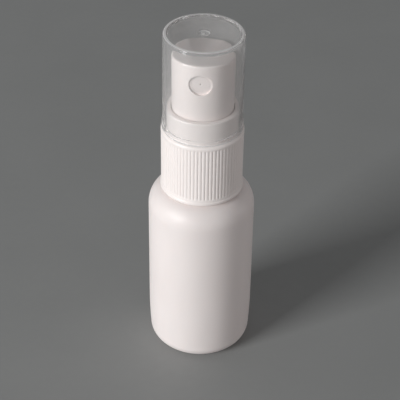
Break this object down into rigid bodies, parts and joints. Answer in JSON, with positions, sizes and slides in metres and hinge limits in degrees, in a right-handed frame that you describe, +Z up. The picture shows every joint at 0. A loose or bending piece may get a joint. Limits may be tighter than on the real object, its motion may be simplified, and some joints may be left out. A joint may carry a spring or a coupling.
{
  "type": "fine mist spray bottle",
  "caption": "Round white plastic bottle with a fine mist finger pump, a ribbed screw closure and a clear overcap that lifts off.",
  "frame": {"origin": "centre of the base, on the plane the bottle stands on", "axes": "+Z up along the bottle's axis; -Y the way the nozzle sprays"},
  "size_m": [0.03, 0.03, 0.102],
  "materials": {
    "bottle_plastic": "satin blow moulded polyethylene",
    "closure_plastic": "satin moulded polypropylene",
    "actuator_plastic": "satin moulded polypropylene",
    "clear_plastic": "clear polished",
    "pump_plastic": "natural polypropylene",
    "tube_plastic": "natural polyethylene",
    "piston_plastic": "soft polyethylene",
    "gasket_foam": "soft foam liner",
    "steel_wire": "drawn stainless wire",
    "steel_ball": "polished stainless"
  },
  "bodies": {
    "bottle": {"bottle": "bottle_plastic"},
    "pump": {"pump_housing": "pump_plastic", "chaplet": "pump_plastic", "gasket": "gasket_foam", "dip_tube": "tube_plastic", "return_spring": "steel_wire"},
    "closure": {"closure": "closure_plastic"},
    "overcap": {"overcap": "clear_plastic"},
    "valve_rod": {"valve_rod": "pump_plastic"},
    "piston": {"piston": "piston_plastic"},
    "actuator": {"actuator": "actuator_plastic", "nozzle_insert": "actuator_plastic", "stem": "pump_plastic"},
    "inlet_ball": {"inlet_ball": "steel_ball"}
  },
  "joints": [
    {"name": "pump_rise", "type": "slide", "parent": "bottle", "child": "pump", "axis": [0, 0, 1], "range_m": [0, 0.00476]},
    {"name": "closure_turn", "type": "hinge", "parent": "pump", "child": "closure", "pos_m": [0, 0, 0.065], "axis": [0, 0, 1], "range_deg": [0, 540]},
    {"name": "overcap_lift", "type": "slide", "parent": "closure", "child": "overcap", "axis": [0, 0, 1], "range_m": [0, 0.03]},
    {"name": "actuator_press", "type": "slide", "parent": "pump", "child": "valve_rod", "axis": [0, 0, -1], "range_m": [0, 0.0045], "stiffness_N_per_m": 900, "springref_m": -0.0035, "deforming": ["return_spring"]},
    {"name": "actuator_turn", "type": "hinge", "parent": "valve_rod", "child": "actuator", "pos_m": [0, 0, 0.085], "axis": [0, 0, 1], "continuous": true},
    {"name": "piston_slide", "type": "slide", "parent": "pump", "child": "piston", "axis": [0, 0, -1], "range_m": [0, 0.004]},
    {"name": "ball_lift", "type": "slide", "parent": "pump", "child": "inlet_ball", "axis": [0, 0, 1], "range_m": [0, 0.0006]}
  ],
  "couplings": [
    {"joint": "pump_rise", "follows": "closure_turn", "m_per_rad": 0.00050532},
    {"joint": "piston_slide", "follows": "actuator_press", "ratio": 0.88889}
  ]
}
